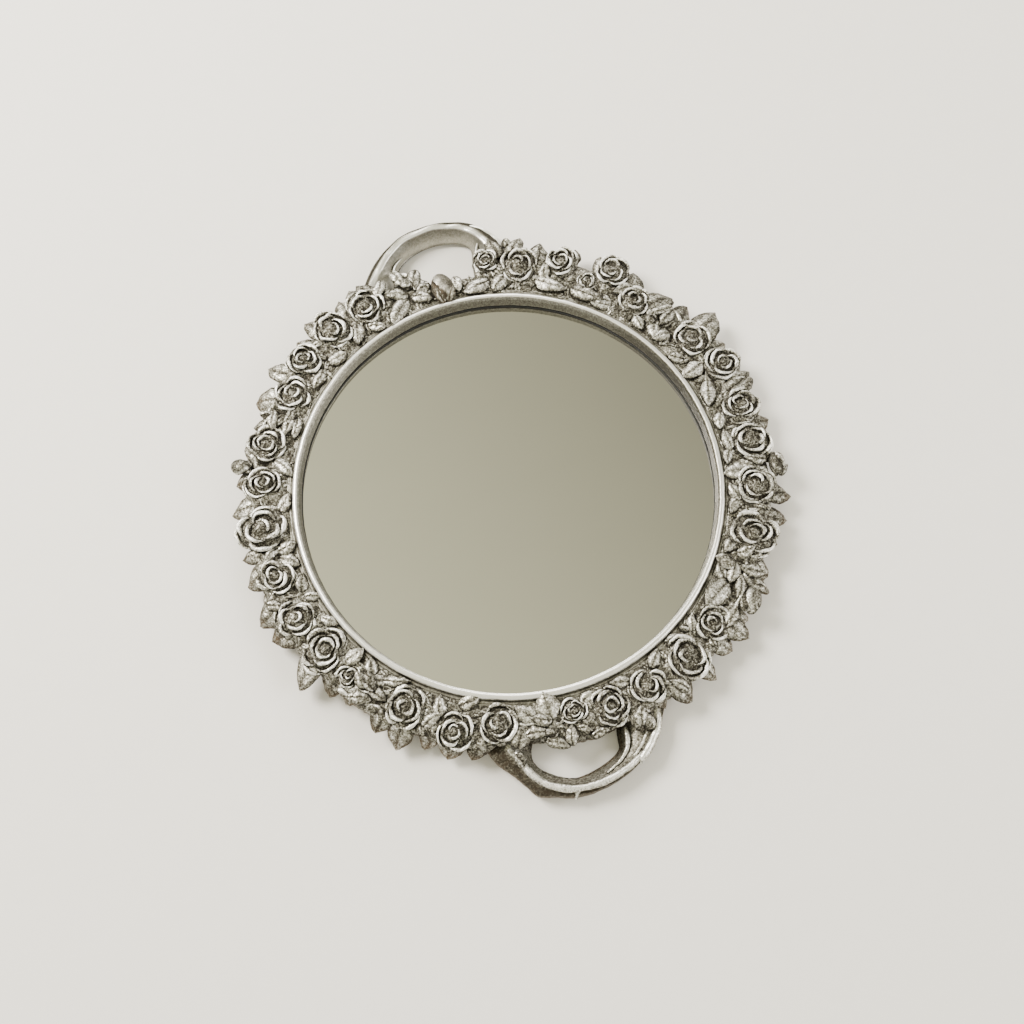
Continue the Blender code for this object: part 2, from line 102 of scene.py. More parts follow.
# Leaves that reach out past the roses: angle, radius of the tip, length, width, height of the tip, heading,
# and 1 for a rounded leaf or 0 for a pointed one
OUTER_LEAVES = (
    (9, 203, 26, 14, 15, 10, 0), (25, 211, 25, 20, 14, 0, 1), (31, 199, 19, 15, 14, -8, 1),
    (44, 199, 22, 19, 16, 14, 1), (39, 199, 21, 17, 15, -16, 1), (52, 204, 18, 12, 13, 12, 1),
    (68, 202, 20, 14, 15, -14, 0), (74, 207, 19, 12, 15, -6, 1), (77, 206, 16, 10, 16, 12, 1),
    (108, 200, 20, 14, 16, 20, 0), (112, 201, 20, 15, 15, 0, 1), (116, 200, 18, 13, 13, -14, 0),
    (123, 204, 20, 14, 13, 0, 1), (136, 203, 19, 13, 14, 0, 1), (142, 201, 20, 17, 10, 14, 1),
    (157, 198, 17, 13, 12, -16, 0), (162, 198, 17, 13, 12, 18, 0), (169, 200, 19, 15, 12, 0, 0),
    (181, 197, 15, 9, 13, -14, 0), (185, 199, 21, 18, 11, 0, 0), (190, 195, 16, 12, 12, 16, 0),
    (194, 202, 20, 16, 11, 0, 0), (200, 200, 19, 19, 10, 0, 0), (208, 206, 24, 17, 12, 0, 0),
    (213, 196, 18, 15, 12, 12, 0), (219, 192, 14, 12, 12, -14, 1), (227, 198, 20, 16, 12, 12, 0),
    (232, 203, 20, 16, 9, -6, 0), (238, 197, 16, 13, 8, 10, 0), (243, 200, 19, 16, 8, 0, 0),
    (249, 197, 15, 12, 13, -12, 1), (284, 199, 17, 15, 15, -8, 0), (293, 199, 20, 17, 13, 16, 0),
    (300, 201, 18, 11, 11, 0, 0), (306, 197, 15, 12, 12, 10, 1), (311, 201, 19, 14, 13, -6, 0),
    (313, 195, 14, 11, 13, 0, 1), (322, 199, 14, 9, 14, 10, 0), (326, 196, 17, 14, 12, -8, 1),
    (333, 198, 15, 12, 10, 0, 0), (338, 201, 18, 13, 12, -14, 0), (343, 204, 19, 14, 12, 10, 0),
    (354, 199, 17, 12, 12, -12, 0), (0, 200, 18, 15, 12, 0, 0), (21, 201, 16, 12, 12, -10, 1),
    (60, 205, 15, 11, 12, 0, 1), (127, 199, 16, 11, 12, 16, 1), (148, 192, 15, 9, 16, 30, 0),
    (175, 199, 15, 12, 11, 0, 1), (289, 193, 14, 10, 11, 0, 0),
)
# Leaves that lie over the bed towards the bead: angle, radius of the middle, length, width, and heading from
# straight in
INNER_LEAVES = (
    (11, 165, 19, 10, 64), (18, 165, 17, 11, 18), (24, 162, 12, 8, -62), (31, 166, 13, 9, -24),
    (34, 167, 14, 9, 14), (38, 164, 12, 8, 64), (54, 164, 24, 10, 74), (49, 163, 14, 8, -76),
    (64, 165, 22, 11, 68), (77, 165, 15, 10, -34), (83, 163, 20, 11, -64), (88, 169, 13, 9, 20),
    (98, 166, 15, 9, 52), (105, 164, 22, 11, -70), (112, 163, 13, 8, 62), (117, 166, 15, 10, -24),
    (126, 163, 14, 9, 64), (133, 163, 15, 8, -70), (148, 167, 15, 8, -76), (148, 161, 15, 7, -70),
    (159, 163, 16, 9, -26), (169, 161, 14, 9, 58), (181, 164, 13, 9, 10), (184, 164, 14, 10, -24),
    (191, 162, 12, 8, 60), (195, 160, 10, 7, -16), (203, 160, 13, 7, -66), (214, 164, 14, 10, -16),
    (219, 163, 12, 8, 50), (226, 163, 18, 7, -74), (238, 167, 14, 9, 24), (245, 159, 16, 9, -62),
    (259, 166, 17, 11, 60), (264, 162, 18, 15, 10), (274, 162, 12, 8, -60), (283, 162, 13, 8, 62),
    (293, 162, 13, 8, -58), (300, 161, 12, 7, 60), (306, 163, 12, 7, -50), (316, 166, 22, 15, 70),
    (321, 163, 13, 9, -30), (324, 164, 14, 12, 16), (329, 163, 12, 8, 64), (340, 162, 13, 8, 50),
    (343, 163, 13, 8, -56), (349, 165, 15, 12, -8), (353, 161, 11, 7, 66), (357, 163, 14, 8, -66),
    (3, 163, 13, 8, 66),
)
# Leaves in the gaps between roses: angle, radius of the middle, length, width and heading
FILLER_LEAVES = (
    (35, 182, 19, 8, 160), (33, 180, 18, 8, 190), (36, 174, 16, 9, 30), (46, 182, 16, 9, 120),
    (66, 176, 16, 9, 20), (98, 182, 18, 10, 150), (101, 188, 18, 9, 200), (103, 177, 17, 10, 60),
    (97, 173, 15, 9, 100), (106, 186, 17, 9, 150), (148, 181, 17, 8, 100), (146, 170, 16, 8, 80),
    (181, 176, 15, 8, 20), (193, 185, 14, 8, 150), (221, 184, 17, 9, 120), (224, 177, 13, 9, 60),
    (219, 173, 14, 10, 240), (222, 168, 15, 8, 300), (237, 176, 15, 9, 160), (257, 180, 16, 13, 170),
    (261, 178, 17, 9, 100), (265, 186, 16, 9, 80), (262, 171, 15, 9, 270), (268, 184, 14, 9, 170),
    (274, 187, 14, 6, 110), (283, 188, 14, 9, 160), (294, 186, 14, 8, 190), (313, 184, 15, 9, 80),
    (320, 180, 18, 8, 100), (324, 182, 16, 9, 200), (322, 172, 15, 9, 280), (328, 176, 14, 9, 20),
    (351, 180, 16, 8, 180), (350, 174, 14, 8, 330), (12, 190, 14, 8, 160), (90, 166, 12, 8, 60),
)
# Small closed buds: angle, radius, length, width, height, heading, and the base's greatest height, or None
# for a bud that lies on the bed
SMALL_BUDS = (
    (221, 172, 14, 10, 8, 60, None), (304, 161, 7, 6, 6, 0, None), (324, 165, 13, 11, 8, 160, None),
    (257, 195, 11, 9, 8, 10, 13), (284, 193, 15, 12, 7, -12, 14), (264, 180, 9, 8, 7, 90, None),
    (75, 201, 9, 8, 7, 0, 14), (100, 180, 10, 9, 8, 40, None), (36, 171, 9, 8, 7, 70, None),
    (147, 187, 9, 7, 7, 0, None), (9.6, 196, 13, 9, 8, 40, 13),
)
# Stems that show between the flowers: angle and radius pairs, and the thickness at the start
VINES = (
    (((30, 186), (34, 189), (39, 187)), 3.4), (((216, 188), (221, 186), (226, 182)), 3.2),
    (((312, 183), (318, 182), (326, 178)), 3.6), (((95, 172), (98, 186), (102, 194)), 4.0),
    (((145, 186), (150, 185), (153, 188)), 3.0), (((257, 172), (261, 173), (266, 178)), 3.0),
    (((226, 170), (222, 178), (217, 184)), 3.0),
)
# The outlines of the handles from leg to leg, as angle and radius: the outer foot, the ridge, and the inner
# foot that bounds the opening
UPPER_OUTER = (
    (74.6, 180), (75, 188), (75.8, 199), (77.6, 208), (80.2, 217.2), (84, 223.6), (89.6, 226.5),
    (94.8, 225.1), (98.6, 221), (102.2, 214.6), (105.4, 206.6), (108.4, 198.4), (110.6, 190), (111.6, 181),
)
UPPER_RIDGE = (
    (78.2, 180), (78.4, 188), (79.2, 198.6), (80.6, 206.6), (82.6, 213.2), (85.4, 218.6), (89.8, 221.6),
    (94.2, 220), (97.2, 217.2), (100.2, 211.2), (103.2, 203.8), (106, 196.4), (108, 189), (108.8, 180),
)
UPPER_INNER = (
    (82.4, 180), (82.4, 188), (82.4, 199.6), (82.8, 207), (84.4, 211.8), (86.8, 214.4), (89.8, 215.6),
    (93, 214.6), (95.8, 211.8), (98.2, 208), (99.8, 203.4), (100.4, 197.4), (100.6, 190), (100.8, 181),
)
LOWER_OUTER = (
    (290, 188), (288.4, 192.6), (286.6, 197.4), (284.4, 203.2), (281.8, 210), (278.6, 216.2), (274.6, 220.8),
    (270, 223.6), (266, 223.8), (262.6, 221.2), (259.9, 219.9), (258, 213.4), (255.8, 205.8), (253.4, 199.8),
    (251.2, 193.6), (249.6, 187), (248.8, 179),
)
LOWER_RIDGE = (
    (287, 188), (286.4, 193), (285.2, 198.6), (283, 206.2), (280.4, 212.4), (277.4, 215.8), (274, 217.8),
    (270, 219.2), (266, 218.6), (263.2, 215.6), (261, 211), (259.2, 206), (257.8, 199.6), (256.6, 194),
    (255.6, 189.6), (255, 187), (254.6, 179),
)
LOWER_INNER = (
    (279.6, 185), (278.8, 190), (278.2, 195.6), (277.6, 201), (276, 204.8), (273.8, 207.6), (271.6, 209.6),
    (269.4, 211), (267.2, 211.3), (264.8, 209.4), (262.8, 206.2), (261, 202.2), (259.8, 198), (259.2, 194),
    (259, 190), (259, 186), (259.4, 178),
)
# The stems that show on the handles: angle, radius and height along each, then its thickness at the start
# and end, and how bright its silver is
UPPER_STEMS = (
    (((76, 190, 14), (76.6, 201, 15), (78.4, 210, 15.8), (81.2, 216.6, 16.4),
      (84, 220.6, 16.6)), 6, 3.4, 0.62),
    (((81.8, 189, 12), (81.8, 199, 13), (81.2, 206, 13), (80.6, 211, 12)), 4.4, 1.4, 0.30),
    (((101.6, 188, 12), (101.3, 196, 12.6), (100, 204, 11.6), (97.8, 210, 9.6)), 4, 1.2, 0.34),
    (((104.8, 188, 14), (104.2, 195, 14.6), (103, 202, 14.2), (101.6, 207.5, 13.6)), 5, 3, 0.34),
)
LOWER_STEMS = (
    (((280.8, 210.6, 12), (278, 213.8, 13.6), (274.8, 217.2, 14.6), (270.6, 219.3, 15),
      (266.4, 218.9, 15), (263, 215.4, 14.8), (260.6, 210.2, 14.4), (258.6, 203.6, 13.8),
      (257, 196, 13), (256.2, 188, 12)), 4.6, 5.6, 0.42),
    (((289, 184, 9), (286.2, 196.4, 12), (283.8, 204, 13.2), (281.4, 210.2, 13.8),
      (279.2, 214.6, 14)), 5.6, 6.4, 0.40),
    (((279.4, 189, 11), (279, 197, 12), (277.8, 204, 12), (275.6, 209.8, 12.4),
      (272.8, 214, 11.8)), 4.6, 1.6, 0.22),
    (((257.8, 208.4, 11), (256.2, 204.4, 11.4), (254.2, 198.8, 11.2), (252.8, 193.6, 10.6),
      (252, 188, 10)), 3, 3.2, 0.26),
    (((284, 190, 11.4), (283, 198, 11.8), (281, 205, 12.2), (278.4, 210.6, 12.6)), 3.4, 2.8, 0.22),
)
# The thorns of the lower handle, in the same columns
THORNS = (
    (((267, 217.4, 11), (266.6, 221.6, 11.4), (266.2, 225.4, 10.4)), 9.4, 2, 0.10),
    (((279.9, 209.5, 12.2), (279.4, 214, 13.2), (279, 217.2, 11.6)), 2.8, 2, 0.16),
)


# ---------- mesh tools


def polar(angle, radius, height=0.0):
    """The point at an angle in degrees and a radius and height in metres."""
    turn = math.radians(angle)
    return Vector((radius * math.cos(turn), radius * math.sin(turn), height))


def add_object(name, data):
    """A new object in the scene."""
    made = bpy.data.objects.new(name, data)
    bpy.context.scene.collection.objects.link(made)
    return made


def moved(points, place):
    """An array of points, moved by a matrix."""
    matrix = np.array(place)
    return points @ matrix[:3, :3].T + matrix[:3, 3]


class Sculpt:
    """Gathers closed lofted forms into one mesh, each point with a tone: how far the silver was brushed on
    there, with painted highlights and painted shade mixed in.
    """

    def __init__(self):
        self.points = []
        self.brushing_and_painted_light = []
        self.faces = []
        self.count = 0

    def loft(self, rows, brushing_and_painted_light, ring=False):
        """Join closed rows of points, an array of rows by points by 3; ring joins the last to the first."""
        rows = np.asarray(rows, float)
        number, around = rows.shape[:2]
        points = rows.reshape(-1, 3)
        index = np.arange(number * around).reshape(number, around) + self.count
        last = index if ring else index[:-1]
        following = np.roll(index, -1, axis=0) if ring else index[1:]
        quads = [last, np.roll(last, -1, axis=1), np.roll(following, -1, axis=1), following]
        quads = np.stack(quads, axis=-1).reshape(-1, 4)
        faces = quads.tolist()
        if not ring:
            faces += [index[0][::-1].tolist(), index[-1].tolist()]
        # Faces that point inwards enclose a negative volume, and are turned round
        corners = (points - points.mean(axis=0))[quads - self.count]
        halves = np.cross(corners[:, 1], corners[:, 2]) + np.cross(corners[:, 2], corners[:, 3])
        outward = (corners[:, 0] * halves).sum() > 0
        self.faces += faces if outward else [face[::-1] for face in faces]
        self.points.append(points)
        self.brushing_and_painted_light.append(np.broadcast_to(np.asarray(brushing_and_painted_light, float), (number, around)).reshape(-1))
        self.count += number * around

    def roughen(self, size, amount, seed):
        """Move the points by smooth noise of a size and amount, as a hand-cast surface has."""
        offset = Vector((seed * 7.3, seed * 3.1, seed * 1.7))
        offsets = (offset, offset + Vector((31.4, 0, 0)), offset + Vector((0, 47.1, 0)))
        for index, block in enumerate(self.points):
            spots = [Vector(point) / size for point in block]
            shifts = [[noise.noise(spot + step) for step in offsets] for spot in spots]
            self.points[index] = block + amount * np.array(shifts)

    def make(self, name, place=None):
        """The mesh object, smooth shaded."""
        mesh = bpy.data.meshes.new(name)
        points = np.concatenate(self.points)
        if place is not None:
            points = moved(points, place)
        mesh.from_pydata(points.tolist(), [], self.faces)
        # Each point's tone holds the brushed silver together with painted light and shade
        layer = mesh.attributes.new("brushing_and_painted_light", "FLOAT", "POINT")
        layer.data.foreach_set("value", np.concatenate(self.brushing_and_painted_light))
        mesh.shade_smooth()
        return add_object(name, mesh)


def smooth_path(points, count, closed=False):
    """Points spread evenly along a smooth curve through the given ones."""
    points = [np.array(point, float) for point in points]
    if closed:
        padded = [points[-1], *points, points[0], points[1]]
    else:
        padded = [2 * points[0] - points[1], *points, 2 * points[-1] - points[-2]]
    fine = []
    for a, b, c, d in zip(padded, padded[1:], padded[2:], padded[3:]):
        for share in np.linspace(0, 1, 24, endpoint=False):
            fine.append(
                0.5 * (2 * b + (c - a) * share + (2 * a - 5 * b + 4 * c - d) * share**2
                       + (3 * b - a - 3 * c + d) * share**3)
            )
    fine.append(points[0] if closed else points[-1])
    fine = np.array(fine)
    run = np.concatenate([[0], np.cumsum(np.linalg.norm(np.diff(fine, axis=0), axis=1))])
    wanted = np.linspace(0, run[-1], count, endpoint=not closed)
    return np.stack([np.interp(wanted, run, fine[:, axis]) for axis in range(fine.shape[1])], axis=1)


def set_piece(piece, material, slot, *nodes):
    """Give a piece its material and body, and hide the CAD nodes it stands for. slot is not used."""
    piece.data.materials.append(material)
    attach(piece, BODY)
    if nodes:
        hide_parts(*nodes)
    return piece


# ---------- roses, buds and leaves


def petal(sculpt, turn, half, base, rim, bottom, top, lean, thick, shine, columns=15):
    """Add one petal: a thick curved wall from its foot up and out to a rolled rim, in units of the rose."""
    steps = np.array([0.0, 0.25, 0.48, 0.68, 0.84, 1.0])
    rows, tones = [], []
    for across in np.linspace(-1, 1, columns):
        # A petal curls in, drops and thins towards its two sides
        tuck = 1 - 0.16 * across**2 - 0.06 * across**4
        radius = (base + (rim - base) * steps**1.7) * tuck + lean * across
        drop = 1 - 0.26 * abs(across) ** 2.5
        height = bottom + (top - bottom) * drop * np.sin(steps * math.pi * 0.46) / math.sin(math.pi * 0.46)
        angle = np.full(len(steps), turn + half * across)
        slope_r = np.gradient(radius)
        slope_z = np.gradient(height)
        length = np.hypot(slope_r, slope_z)
        along_r, along_z = slope_r / length, slope_z / length
        full = max(0.16, 1 - 0.84 * abs(across) ** 1.6)
        half_thick = thick / 2 * full * (0.55 + 0.50 * steps**2)
        outer = np.stack([radius + along_z * half_thick, height - along_r * half_thick, angle], axis=1)
        inner = np.stack([radius - along_z * half_thick, height + along_r * half_thick, angle], axis=1)
        rounding = []
        for swing in np.radians((-52, 0, 52)):
            ahead, aside = math.cos(swing) * half_thick[-1], -math.sin(swing) * half_thick[-1]
            rounding.append((
                radius[-1] + along_r[-1] * ahead + along_z[-1] * aside,
                height[-1] + along_z[-1] * ahead - along_r[-1] * aside,
                angle[-1],
            ))
        loop = np.concatenate([outer, np.array(rounding), inner[::-1]])
        radii, heights, angles = loop.T
        rows.append(np.stack([radii * np.cos(angles), radii * np.sin(angles), heights], axis=1))
        # Rim tone: brushed silver and a painted highlight, brightest just off the petal's middle
        rim_silver_and_highlight = 0.36 + (shine - 0.36) * max(0.0, 1 - (across - 0.1) ** 2 * 1.8)
        tones.append(np.concatenate([
            0.28 + (rim_silver_and_highlight - 0.28) * steps**6, np.full(3, rim_silver_and_highlight), (0.32 + (rim_silver_and_highlight - 0.32) * steps**8)[::-1]
        ]))
    sculpt.loft(rows, tones)


# Rows of petals, from the outside in: least and most petals, then in units of the rose the foot's and rim's
# radius, the foot's and rim's height, how far a petal leans across its neighbour, and its thickness
PETAL_ROWS = (
    (1, 2, 0.91, 1.050, -0.05, 0.42, 0.050, 0.150),
    (3, 4, 0.74, 0.880, 0.10, 0.72, 0.120, 0.160),
    (3, 3, 0.50, 0.620, 0.36, 0.92, 0.100, 0.140),
    (1, 2, 0.24, 0.340, 0.56, 1.00, 0.060, 0.120),
)
# The rough dome that the petals stand on, as radius and height in units of the rose
ROSE_DOME = (
    (0.80, -0.10), (0.96, 0), (0.97, 0.12), (0.93, 0.26), (0.86, 0.38), (0.79, 0.48), (0.72, 0.53),
    (0.64, 0.56), (0.57, 0.64), (0.50, 0.68), (0.43, 0.70), (0.35, 0.74), (0.26, 0.80), (0.17, 0.84),
    (0.08, 0.90), (0.02, 0.92),
)


def turned_rows(profile, around):
    """Rings of points from radius and height pairs."""
    turns = np.arange(around) / around * 2 * math.pi
    return [
        np.stack([radius * np.cos(turns), radius * np.sin(turns), np.full(around, height)], axis=1)
        for radius, height in profile
    ]


def rose(name, number):
    """A full-blown rose over its CAD node: rows of upright rolled petals on a rough dome."""
    low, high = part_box(name)
    middle = (low + high) / 2
    radius = (high.x - low.x + high.y - low.y) / 4 * ROSE_SPREAD
    foot = BED_HEIGHT
    height = high.z - foot - ROSE_CLEARANCE
    chance = random.Random(ROSE_SEED + number)
    bearing = math.atan2(middle.y, middle.x)
    sculpt = Sculpt()
    spin = chance.uniform(0, 2 * math.pi)
    heart = Vector((chance.uniform(-0.09, 0.09), chance.uniform(-0.09, 0.09)))
    for row, (fewest, most, base, rim, bottom, top, lean, thick) in enumerate(PETAL_ROWS):
        count = chance.randint(fewest, most)
        spin += math.pi / max(count, 3) + chance.uniform(-0.5, 0.5)
        widest = 0.95 if row == 0 else math.pi / max(count, 2) * 1.18
        grown = chance.uniform(-0.05, 0.05)
        for index in range(count):
            turn = spin + index * 2 * math.pi / count + chance.uniform(-0.22, 0.22)
            reach = rim + grown + chance.uniform(-0.05, 0.04)
            # An outermost petal that points at the glass stays short of the bead
            if row == 0 and math.cos(turn) < -0.3:
                reach -= 0.10
            half = widest * chance.uniform(0.70, 1.05)
            peak = top + chance.uniform(-0.10, 0.02)
            leaning = lean * chance.choice((-1, 1)) * chance.uniform(0.5, 1.5)
            wall = thick * chance.uniform(0.75, 1.20)
            shine = chance.uniform(0.60, 1.20)
            petal(sculpt, turn, half, base + grown, reach, bottom, peak, leaning, wall, shine)
            block = sculpt.points[-1]
            block[:, :2] += np.array(heart) * row / 3
    sculpt.loft(turned_rows(ROSE_DOME, 60), 0.30)
    stretch = chance.uniform(0.0, 0.10)
    size = np.array([radius * (1 + stretch), radius * (1 - stretch * 0.4), height])
    sculpt.points = [block * size for block in sculpt.points]
    sculpt.roughen(6.0 * MM, 1.0 * MM, number)
    sculpt.roughen(2.2 * MM, 0.50 * MM, number + 50)
    side = Vector((-math.sin(bearing), math.cos(bearing), 0))
    place = Matrix.Translation((middle.x, middle.y, foot))
    place = place @ Matrix.Rotation(math.radians(chance.uniform(0, 7)), 4, side)
    return sculpt.make(f"{name}_bloom", place @ Matrix.Rotation(bearing, 4, "Z"))


def leaf(sculpt, place, length, width, thick, pointed, seed, tone=0.56, arch=0.12):
    """Add one leaf along +X from its base: a thick cushioned blade with a midrib, veins and a curled edge."""
    chance = random.Random(seed)
    twist = chance.uniform(-0.30, 0.30)
    bend = chance.uniform(-0.30, 0.30)
    tone += chance.uniform(-0.06, 0.12)
    across = np.array([-1.0, -0.93, -0.78, -0.56, -0.32, -0.12, 0.0, 0.12, 0.32, 0.56, 0.78, 0.93, 1.0])
    rows, tones = [], []
    for u in np.linspace(0, 1, 19 if length > 13 * MM else 12):
        swell = math.sin(math.pi * min(1.0, 0.03 + 0.965 * u) ** 0.78)
        half = max(width / 2 * max(swell, 0.0) ** (0.66 if pointed else 0.50), 0.5 * MM)
        side = across * half
        ridge = length * arch * math.sin(math.pi * (0.15 + 0.70 * u))
        cushion = 0.42 * thick * (1 - across**2)
        groove = np.exp(-((side / (0.9 * MM)) ** 2)) * (1 - 0.8 * u)
        veins = np.cos(2 * math.pi * (3.4 * u - 0.75 * np.abs(across)))
        veins *= (1 - across**4) * math.sin(math.pi * u) * np.clip(np.abs(across) * 3, 0, 1)
        top = ridge + cushion - 0.7 * MM * groove + 0.20 * MM * veins + twist * side * u
        depth = thick * (0.35 + 0.65 * (1 - across**2)) * (0.45 + 0.55 * math.sin(math.pi * (0.1 + 0.8 * u)))
        x = np.full_like(across, u * length)
        y = side + bend * length * u**2
        upper = np.stack([x, y, top], axis=1)
        under = np.stack([x, y, top - depth], axis=1)[1:-1][::-1]
        rows.append(np.concatenate([upper, under])[::-1])
        # Brighter shoulders: brushed silver and a painted highlight; darker edges, sides and underside: dark
        # patina and painted shade
        bright = tone + 0.32 * np.exp(-(((np.abs(across) - 0.45) / 0.30) ** 2)) * math.sin(math.pi * u**0.8)
        face = bright + 0.08 * veins - 0.34 * np.abs(across) ** 6 - 0.26 * groove
        tones.append(np.concatenate([face, np.full(len(across) - 2, 0.06)])[::-1])
    sculpt.loft([moved(row, place) for row in rows], tones)


def heading_place(angle, radius, height, heading, pitch=0.0):
    """A place at an angle and radius, whose +X heads so many degrees from straight out, pitched down."""
    place = Matrix.Translation(polar(angle, radius, height))
    place = place @ Matrix.Rotation(math.radians(angle + heading), 4, "Z")
    return place @ Matrix.Rotation(math.radians(pitch), 4, "Y")


def bud(sculpt, place, length, width, height, seed, wraps=2):
    """Add a closed bud along +X from its base: a round egg with overlapping wrapped petals."""
    turns = np.arange(48) / 48 * 2 * math.pi
    rows, tones = [], []
    for u in np.linspace(0.012, 0.988, 21):
        girth = math.sqrt(1 - (2 * u - 1) ** 2) ** 0.9 * (1.06 - 0.12 * u)
        phase = (turns * wraps / (2 * math.pi) + 0.55 * u + seed * 0.37) % 1.0
        wrap = 1 - 0.22 * phase**4
        y = width / 2 * girth * wrap * np.cos(turns)
        z = height / 2 * girth * wrap * np.sin(turns) + height / 2
        rows.append(np.stack([np.full_like(turns, (u - 0.5) * length), y, z], axis=1))
        # Petal edges brighter: brushed silver and a painted highlight; top a little lighter and the part
        # tucked under each edge darker: painted light and shade
        rim = 0.42 * np.exp(-((phase - 0.14) / 0.10) ** 2)
        tones.append(0.30 + rim + 0.08 * np.sin(turns) - 0.34 * phase**6)
    sculpt.loft([moved(row, place) for row in rows], tones)


def closed_bud(name, heading, number):
    """A bud over its CAD node, lying so many degrees from straight out, with two sepals at its base."""
    low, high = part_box(name)
    middle = (low + high) / 2
    size = high - low
    bearing = math.atan2(middle.y, middle.x) + math.radians(heading)
    length, width = max(size.x, size.y) * BUD_LENGTH, min(size.x, size.y) * BUD_WIDTH
    middle *= 1 - BUD_INWARD / middle.length
    sculpt = Sculpt()
    place = Matrix.Translation((middle.x, middle.y, low.z)) @ Matrix.Rotation(bearing, 4, "Z")
    bud(sculpt, place, length, width, size.z, number)
    for side in (-1, 1):
        base = place @ Matrix.Translation((-length * 0.56, side * width * 0.10, size.z * 0.34))
        base = base @ Matrix.Rotation(math.radians(side * 24), 4, "Z") @ Matrix.Rotation(-0.2, 4, "Y")
        seed = number + 400 + side
        leaf(sculpt, base, length * 0.56, width * 0.42, 2.6 * MM, True, seed, tone=0.30, arch=0.20)
    sculpt.roughen(5 * MM, 0.5 * MM, number + 60)
    return sculpt.make(f"{name}_petals")


def stem(sculpt, points, thick, thick_end, tone=0.46, around=12, knots=0.09, seed=0):
    """Add a stem through points in metres: round-ended, uneven as if rolled by hand, with a painted highlight
    along its top.
    """
    length = np.linalg.norm(np.diff(np.asarray(points, float), axis=0), axis=1).sum()
    count = max(10, int(length / (1.1 * MM)))
    line = smooth_path(points, count)
    tangent = np.gradient(line, axis=0)
    tangent /= np.linalg.norm(tangent, axis=1)[:, None]
    side = np.cross(tangent, (0, 0, 1))
    side /= np.linalg.norm(side, axis=1)[:, None]
    up = np.cross(side, tangent)
    turns = np.arange(around) / around * 2 * math.pi
    rows = []
    for index in range(count):
        share = index / (count - 1)
        radius = (thick + (thick_end - thick) * share) / 2
        swell = 1 + knots * math.sin(length / (9 * MM) * share * 2 + seed)
        swell += knots * 0.7 * noise.noise(Vector((share * length / (5 * MM), seed, 0.5)))
        to_end = min(share, 1 - share) * length + 0.12 * radius
        dome = math.sqrt(1 - max(0.0, 1 - to_end / radius) ** 2)
        ring = np.cos(turns)[:, None] * side[index] + np.sin(turns)[:, None] * up[index]
        rows.append(line[index] + radius * swell * dome * ring)
    # Painted highlight along the top of the stem, faint painted shade underneath
    sculpt.loft(rows, tone + 0.50 * np.clip(np.sin(turns), -0.5, 1) ** 3 + 0.02)


def stems(sculpt, table):
    """Add the stems of a table of angle, radius and height points, thicknesses and tones."""
    for index, (points, thick, thick_end, tone) in enumerate(table):
        line = [polar(angle, radius * MM, height * MM) for angle, radius, height in points]
        stem(sculpt, line, thick * MM, thick_end * MM, tone, 16, 0.06, index * 2.1)


# ---------- garlands


def edge_of_garland(angle):
    """The outer edge of the bed that the flowers grow from, at an angle in degrees."""
    angle %= 360
    edge = BED_OUTER
    for start, end, radius in BED_CUTS:
        begun = (angle - start + CUT_EASE) / (2 * CUT_EASE)
        left = (end + CUT_EASE - angle) / (2 * CUT_EASE)
        edge += (radius - BED_OUTER) * min(1.0, max(0.0, begun), max(0.0, left))
    return edge * MM


def foot_of_garland(angle):
    """How far down the bed's side reaches at an angle: less over the handles' legs."""
    angle %= 360
    for start, end in LEG_SPANS:
        if start <= angle <= end:
            inside = min(angle - start, end - angle)
            return GARLAND_FOOT + min(1.0, inside / LEG_EASE) * (LEG_CLEARANCE - GARLAND_FOOT)
    return GARLAND_FOOT


def bed_lumps(angle, radius):
    """The unevenness of the bed at an angle in degrees and a radius in metres, from about -1 to 1."""
    point = polar(angle, radius)
    return 0.65 * noise.noise(point / COARSE_LUMP) + 0.35 * noise.noise(point / FINE_LUMP)


def bed_height(angle, radius):
    """The height of the bed's top: from the bead's groove over a lumpy crown and down to its outer edge."""
    outer = edge_of_garland(angle)
    share = (radius - BED_INNER) / (outer - BED_INNER)
    rise = min(1.0, max(0.0, share / 0.30))
    rise = rise * rise * (3 - 2 * rise)
    fall = max(0.0, (share - 0.80) / 0.20) ** 2
    smooth = (BED_GROOVE + BED_CROWN * rise - BED_FALL * fall) * MM
    return smooth + LUMP_DEPTH * bed_lumps(angle, radius) * max(0.2, rise)


def on_bed(angle, radius, sink):
    """The height of a form that lies on the bed and is sunk so far into it."""
    reach = min(radius, edge_of_garland(angle) - 3.0 * MM)
    return bed_height(angle, reach) - sink


def laid_place(angle, radius, sink, heading, pitch, length):
    """The place of a leaf that is centred on a point of the bed, with its length in mm."""
    place = heading_place(angle, radius, on_bed(angle, radius, sink), heading, pitch)
    return place @ Matrix.Translation((-length / 2 * MM, 0, 0))


